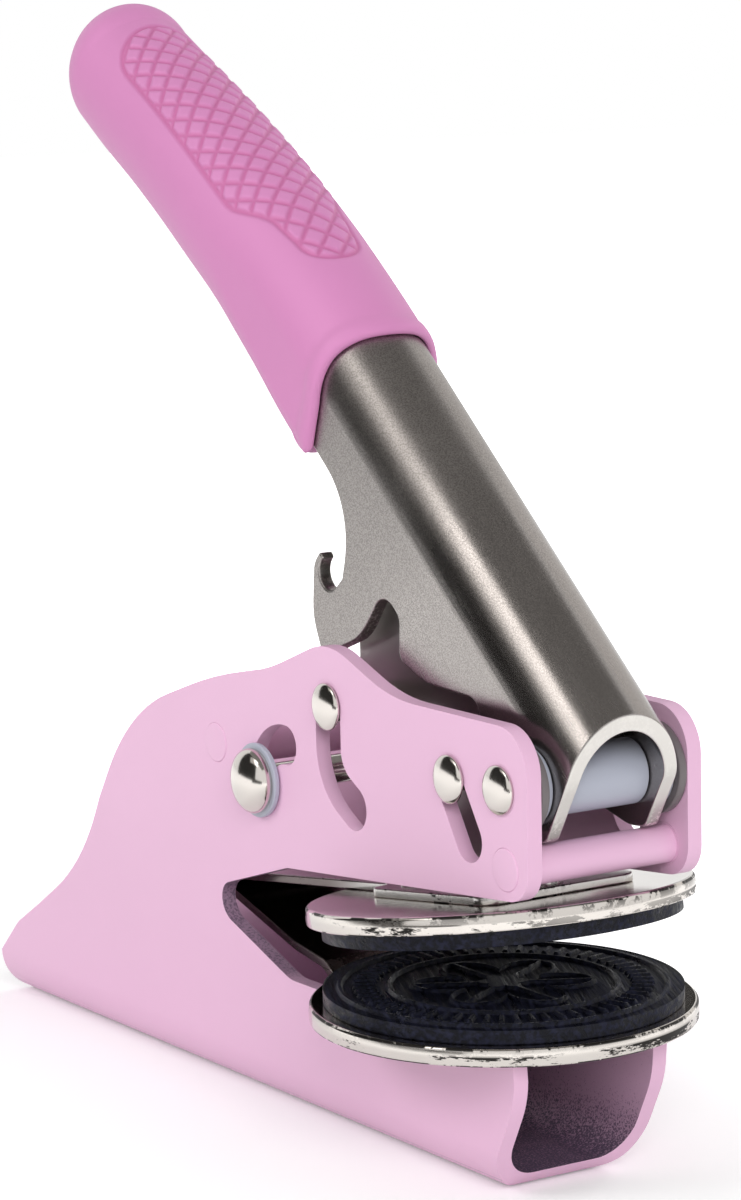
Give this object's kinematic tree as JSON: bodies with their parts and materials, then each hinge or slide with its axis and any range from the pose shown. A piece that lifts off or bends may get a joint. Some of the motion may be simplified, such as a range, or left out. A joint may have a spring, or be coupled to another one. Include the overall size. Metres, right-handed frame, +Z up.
{
  "type": "hand seal embosser",
  "caption": "Pink hand seal embosser: folded steel frame, nickel lever with soft curved grip, press arm, latch pin and a slide-out insert with two round dies",
  "frame": {"origin": "on the flat underside of the frame, below the middle of the round lower plate", "axes": "+X out of the jaw along the frame, +Y across to the side away from the picture's viewer, +Z up"},
  "size_m": [0.1455, 0.051, 0.1506],
  "materials": {
    "pink_paint": "smooth satin pale pink enamel",
    "pink_grip": "satin soft pink moulding with a diamond grip patch",
    "nickel": "bright warm nickel plate",
    "bright_steel": "bright rolled spring steel",
    "dark_steel": "dull plated steel",
    "blue_grey_plastic": "satin translucent bluish grey",
    "grey_plastic": "matte grey",
    "black_die": "near-black navy, faintly streaked"
  },
  "bodies": {
    "base": {"frame": "pink_paint", "front_spacer_rod": "pink_paint", "rear_spacer": "pink_paint", "pivot_pin": "nickel", "pivot_washer_inner_left": "blue_grey_plastic", "pivot_washer_outer_left": "grey_plastic", "pivot_washer_inner_right": "blue_grey_plastic", "pivot_washer_outer_right": "grey_plastic"},
    "handle": {"lever": "nickel", "grip": "pink_grip", "pivot_sleeve": "blue_grey_plastic", "link_pin": "nickel"},
    "press": {"press_arm": "dark_steel", "press_foot": "dark_steel", "foot_pin": "dark_steel"},
    "guide": {"guide_pin": "nickel"},
    "latch": {"latch_pin": "nickel", "latch_washer_left": "blue_grey_plastic", "latch_washer_right": "blue_grey_plastic"},
    "insert": {"lower_strap": "bright_steel", "lower_plate": "nickel", "lower_die": "black_die", "lower_rivets": "bright_steel"},
    "insert_leaf": {"upper_strap": "bright_steel", "upper_plate": "nickel", "upper_die": "black_die", "upper_rivets": "bright_steel"}
  },
  "joints": [
    {"name": "lever_hinge", "type": "hinge", "parent": "base", "child": "handle", "pos_m": [0.0189, 0, 0.054], "axis": [0, -1, 0], "range_deg": [0, 33], "stiffness_Nm_per_rad": 1, "springref_deg": -28.65},
    {"name": "press_arm_hinge", "type": "hinge", "parent": "handle", "child": "press", "pos_m": [0.0082, 0, 0.0537], "axis": [0, -1, 0], "range_deg": [-18.3, 0]},
    {"name": "guide_pin_swing", "type": "hinge", "parent": "base", "child": "guide", "pos_m": [-0.0091, 0, 0.0563], "axis": [0, -1, 0], "range_deg": [0, 77.6]},
    {"name": "latch_pin_swing", "type": "hinge", "parent": "base", "child": "latch", "pos_m": [-0.0312, 0, 0.046], "axis": [0, 1, 0], "range_deg": [0, 80.6]},
    {"name": "insert_slide", "type": "slide", "parent": "base", "child": "insert", "axis": [1, 0, 0], "range_m": [0, 0.085]},
    {"name": "upper_die_swing", "type": "hinge", "parent": "insert", "child": "insert_leaf", "pos_m": [-0.055, 0, 0.0282], "axis": [0, 1, 0], "range_deg": [0, 7.7]}
  ],
  "couplings": [
    {"joint": "press_arm_hinge", "follows": "lever_hinge", "ratio": -0.5545},
    {"joint": "guide_pin_swing", "follows": "lever_hinge", "ratio": 2.3515},
    {"joint": "upper_die_swing", "follows": "lever_hinge", "ratio": 0.2333}
  ]
}
